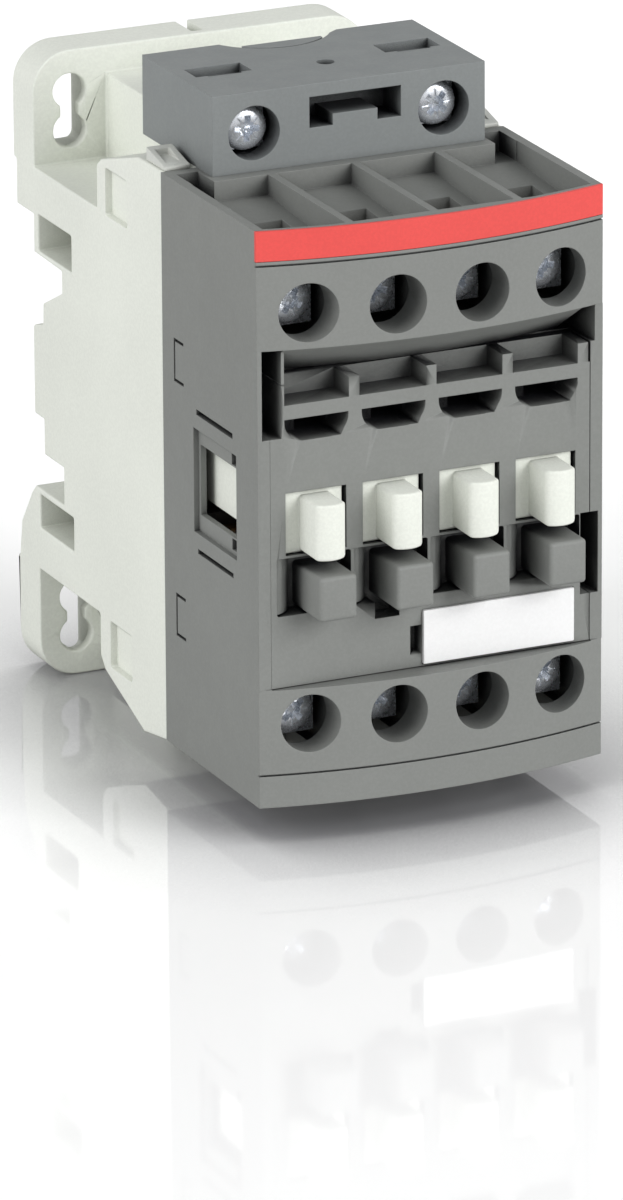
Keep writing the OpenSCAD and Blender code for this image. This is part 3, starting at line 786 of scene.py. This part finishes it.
def add_board():
    """The coil's control board: the board, its chips and relays, and its capacitor can."""
    low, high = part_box("coil_board")
    span = high - low
    top = low.z + BOARD_T
    room = high.z - top
    bm = bmesh.new()
    rounded_slab(bm, low, (high.x, high.y, top), 1.2 * MM, 0.12 * MM)
    plate = mesh_object("coil_board_plate", bm)
    shade(plate)
    stand_for(plate, "coil_board")

    bm = bmesh.new()
    # place, width, depth and height of the big parts, as shares of the board and its room
    chips = ((0.25, 0.14, 0.19, 0.36, 0.95), (0.5, 0.07, 0.22, 0.28, 0.72), (0.05, 0.57, 0.14, 0.28, 0.62))
    for x, y, w, d, h in chips:
        near = (low.x + x * span.x, low.y + y * span.y, top - SOLDERED)
        far = (near[0] + w * span.x, near[1] + d * span.y, top + h * room)
        rounded_slab(bm, near, far, 0.4 * MM, 0.2 * MM)
    for k in range(SMALL_PARTS):
        x = random.uniform(low.x + 2 * MM, high.x - 3 * MM)
        y = low.y + span.y * (0.52 if k % 2 else 0.93)
        near = (x, y - 0.6 * MM, top - SOLDERED)
        far = (x + 1.6 * MM, y + 0.2 * MM, top + 0.5 * MM)
        rounded_slab(bm, near, far, 0.1 * MM, 0.06 * MM)
    board_piece("coil_board_chips", bm, "pad_rubber")

    bm = bmesh.new()
    can = [(0.1, 0), (1, 0.0), (1, 0.25), (0.92, 0.3), (1, 0.36), (1, 0.9), (0.9, 1.0), (0.7, 1.0),
           (0.66, 0.97), (0.1, 0.97)]
    cx, cy = low.x + CAN_PLACE[0] * span.x, low.y + CAN_PLACE[1] * span.y
    turns = [2 * math.pi * j / CAN_SIDES for j in range(CAN_SIDES)]
    skin(bm, [[bm.verts.new((cx + share * CAN_R * math.cos(a), cy + share * CAN_R * math.sin(a),
                             top - SOLDERED + up * room)) for a in turns]
              for share, up in can])
    board_piece("coil_board_capacitor", bm, "zinc_steel")


add_carrier()
add_cover()
add_screws()
add_springs()
add_core("fixed_core", True)
add_core("armature", False)
add_winding()
add_board()


# ------------------------------------------------------- camera, floor and lights
VIEW_AZIMUTH = math.radians(-24.64)
VIEW_HEIGHT = math.radians(18.888)
VIEW_ROLL = math.radians(-0.316)
VIEW_TARGET = Vector((0, -38, -23.342)) * MM
VIEW_DISTANCE = 1277.168 * MM
LENS = 315
SENSOR = 36
CLIP = (0.05, 20)
# the floor's tone for the camera, at the front and at the back, and for every other ray
FLOOR_NEAR = (1.12, 1.12, 1.12, 1)
FLOOR_FAR = (2, 2, 2, 1)
FLOOR_DULL = (0.6, 0.6, 0.6, 1)
FLOOR_REACH = 6
FLOOR_GAP = 0.05 * MM
FLOOR_GLOW = 0.05
FLOOR_ROUGHNESS = 0.04
SHADOW_REACH = 32 * MM
SHADOW_TONE = (0.2, 0.2, 0.21, 1)
STUDIO_TOP = (0.22, 0.225, 0.23, 1)
STUDIO_STRENGTH = 0.75
# name, azimuth and height in degrees, distance and width in metres, power in watts
LIGHTS = (("key", -84, 34, 1.6, 1.0, 12), ("front", 30, 24, 1.8, 1.0, 20))
LIT_POINT = Vector((0, -40, 0)) * MM


def towards(azimuth, height):
    """The direction from the object to a viewer or a light; azimuth 0 is in front."""
    return Vector((math.sin(azimuth) * math.cos(height), -math.cos(azimuth) * math.cos(height),
                   math.sin(height)))


def add_camera():
    """The camera, at the angle of the reference view."""
    data = bpy.data.cameras.new("camera")
    data.lens = LENS
    data.sensor_width = SENSOR
    data.clip_start, data.clip_end = CLIP
    back = towards(VIEW_AZIMUTH, VIEW_HEIGHT)
    right = (-back).cross(Vector((0, 0, 1))).normalized()
    up = right.cross(-back)
    turned_right = right * math.cos(VIEW_ROLL) + up * math.sin(VIEW_ROLL)
    turned_up = up * math.cos(VIEW_ROLL) - right * math.sin(VIEW_ROLL)
    axes = Matrix((turned_right, turned_up, back)).transposed().to_4x4()
    obj = bpy.data.objects.new("camera", data)
    obj.matrix_world = Matrix.Translation(VIEW_TARGET + back * VIEW_DISTANCE) @ axes
    bpy.context.scene.collection.objects.link(obj)
    bpy.context.scene.camera = obj


def add_floor():
    """A pale gloss floor with a soft contact shadow, whose mirror image fades towards the front."""
    bm = bmesh.new()
    bm.faces.new([bm.verts.new((x * FLOOR_REACH, y * FLOOR_REACH, 0))
                  for x, y in ((-1, -1), (1, -1), (1, 1), (-1, 1))])
    floor = mesh_object("floor", bm)
    floor.location.z = cad_box[0].z - FLOOR_GAP
    nodes = Nodes("floor")
    matte = nodes.add("ShaderNodeBsdfDiffuse")
    split = nodes.add("ShaderNodeSeparateXYZ")
    nodes.link(nodes.place, split.inputs[0])
    away = nodes.spread(split.outputs["Y"], 0, 1, -0.35, 0.25)
    tone = nodes.ramp(away, [(0, FLOOR_NEAR), (1, FLOOR_FAR)])
    contact = nodes.ramp(nodes.cavity(SHADOW_REACH), [(0.45, SHADOW_TONE), (0.97, WHITE)])
    seen = nodes.add("ShaderNodeLightPath").outputs["Is Camera Ray"]
    nodes.link(nodes.mix(seen, FLOOR_DULL, nodes.mix(1.0, tone, contact, "MULTIPLY")), matte.inputs["Color"])
    glow = nodes.add("ShaderNodeEmission")
    glow.inputs["Strength"].default_value = FLOOR_GLOW
    lit = nodes.add("ShaderNodeAddShader")
    nodes.link(matte.outputs[0], lit.inputs[0])
    nodes.link(glow.outputs[0], lit.inputs[1])
    gloss = nodes.add("ShaderNodeBsdfGlossy")
    gloss.inputs["Roughness"].default_value = FLOOR_ROUGHNESS
    fade = nodes.spread(split.outputs["Y"], 0.02, 0.34, -0.34, -0.1)
    blend = nodes.add("ShaderNodeMixShader")
    nodes.link(fade, blend.inputs["Fac"])
    nodes.link(lit.outputs[0], blend.inputs[1])
    nodes.link(gloss.outputs[0], blend.inputs[2])
    output = next(n for n in nodes.tree.nodes if n.type == "OUTPUT_MATERIAL")
    nodes.link(blend.outputs[0], output.inputs["Surface"])
    floor.data.materials.append(nodes.material)


def add_light(name, azimuth, height, distance, width, power):
    """A square soft light aimed at the object."""
    data = bpy.data.lights.new(name, "AREA")
    data.shape = "SQUARE"
    data.size = width
    data.energy = power
    obj = bpy.data.objects.new(name, data)
    back = towards(math.radians(azimuth), math.radians(height))
    obj.location = LIT_POINT + back * distance
    obj.rotation_mode = "QUATERNION"
    obj.rotation_quaternion = back.to_track_quat("Z", "Y")
    bpy.context.scene.collection.objects.link(obj)


def add_world():
    """A pale studio, darker overhead."""
    world = bpy.data.worlds.new("studio")
    world.use_nodes = True
    tree = world.node_tree
    place = tree.nodes.new("ShaderNodeTexCoord")
    split = tree.nodes.new("ShaderNodeSeparateXYZ")
    ramp = tree.nodes.new("ShaderNodeValToRGB")
    for stop, position, colour in zip(ramp.color_ramp.elements, (0.1, 0.9), (WHITE, STUDIO_TOP)):
        stop.position = position
        stop.color = colour
    tree.links.new(place.outputs["Generated"], split.inputs[0])
    tree.links.new(split.outputs["Z"], ramp.inputs["Fac"])
    background = tree.nodes["Background"]
    background.inputs["Strength"].default_value = STUDIO_STRENGTH
    tree.links.new(ramp.outputs["Color"], background.inputs["Color"])
    bpy.context.scene.world = world
    bpy.context.scene.view_settings.view_transform = "Standard"


add_camera()
add_floor()
add_world()
for light in LIGHTS:
    add_light(*light)
